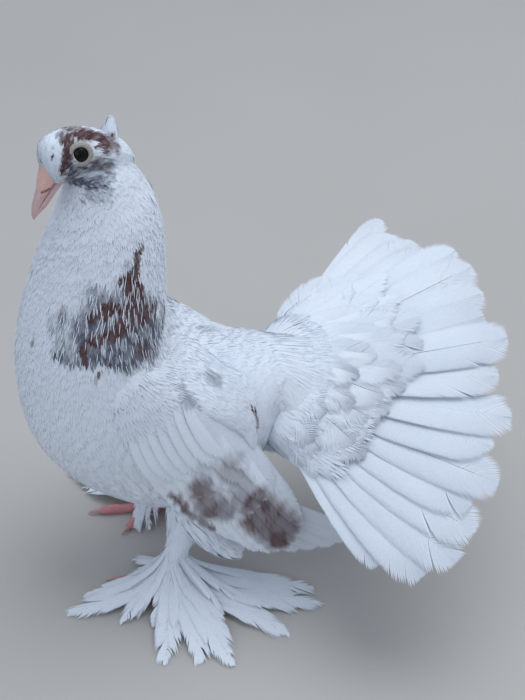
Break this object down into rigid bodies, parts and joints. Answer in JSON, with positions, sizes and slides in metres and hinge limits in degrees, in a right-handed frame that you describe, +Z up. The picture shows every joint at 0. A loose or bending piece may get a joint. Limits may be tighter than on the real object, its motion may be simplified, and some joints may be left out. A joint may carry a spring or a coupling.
{
  "type": "indian fantail pigeon",
  "caption": "Life-size standing fantail pigeon with spread fan tail, small peaked crest, puffed breast and long feathered feet, as a still museum model.",
  "frame": {"origin": "on the floor under the middle of the bird's box", "axes": "+Z up, -X towards the beak, +X towards the tail, -Y is the bird's left side"},
  "size_m": [0.2582, 0.2176, 0.277],
  "materials": {
    "plumage": "white feathers with a cool grey cast, a red-brown and grey streaked collar and brown wing patches",
    "bill": "flesh pink horn and cere, paler at the tip",
    "bare_skin": "pale beige-grey ring of bare skin round the eye",
    "eye": "glossy almost black eye with a dark brown iris",
    "foot_skin": "red-pink scaly skin",
    "claw": "pinkish horn"
  },
  "bodies": {
    "root": {"beak_lower": "bill", "beak_upper": "bill", "cere": "bill", "claw_left_hind": "claw", "claw_left_inner": "claw", "claw_left_middle": "claw", "claw_left_outer": "claw", "claw_right_hind": "claw", "claw_right_inner": "claw", "claw_right_middle": "claw", "claw_right_outer": "claw", "crest": "plumage", "eye_left": "eye", "eye_right": "eye", "eyelid_left": "bare_skin", "eyelid_right": "bare_skin", "foot_left": "foot_skin", "foot_right": "foot_skin", "head": "plumage", "leg_left": "plumage", "leg_right": "plumage", "muff_left": "plumage", "muff_right": "plumage", "neck": "plumage", "primaries_left": "plumage", "primaries_right": "plumage", "tail": "plumage", "torso": "plumage", "wing_left": "plumage", "wing_right": "plumage"}
  },
  "joints": []
}
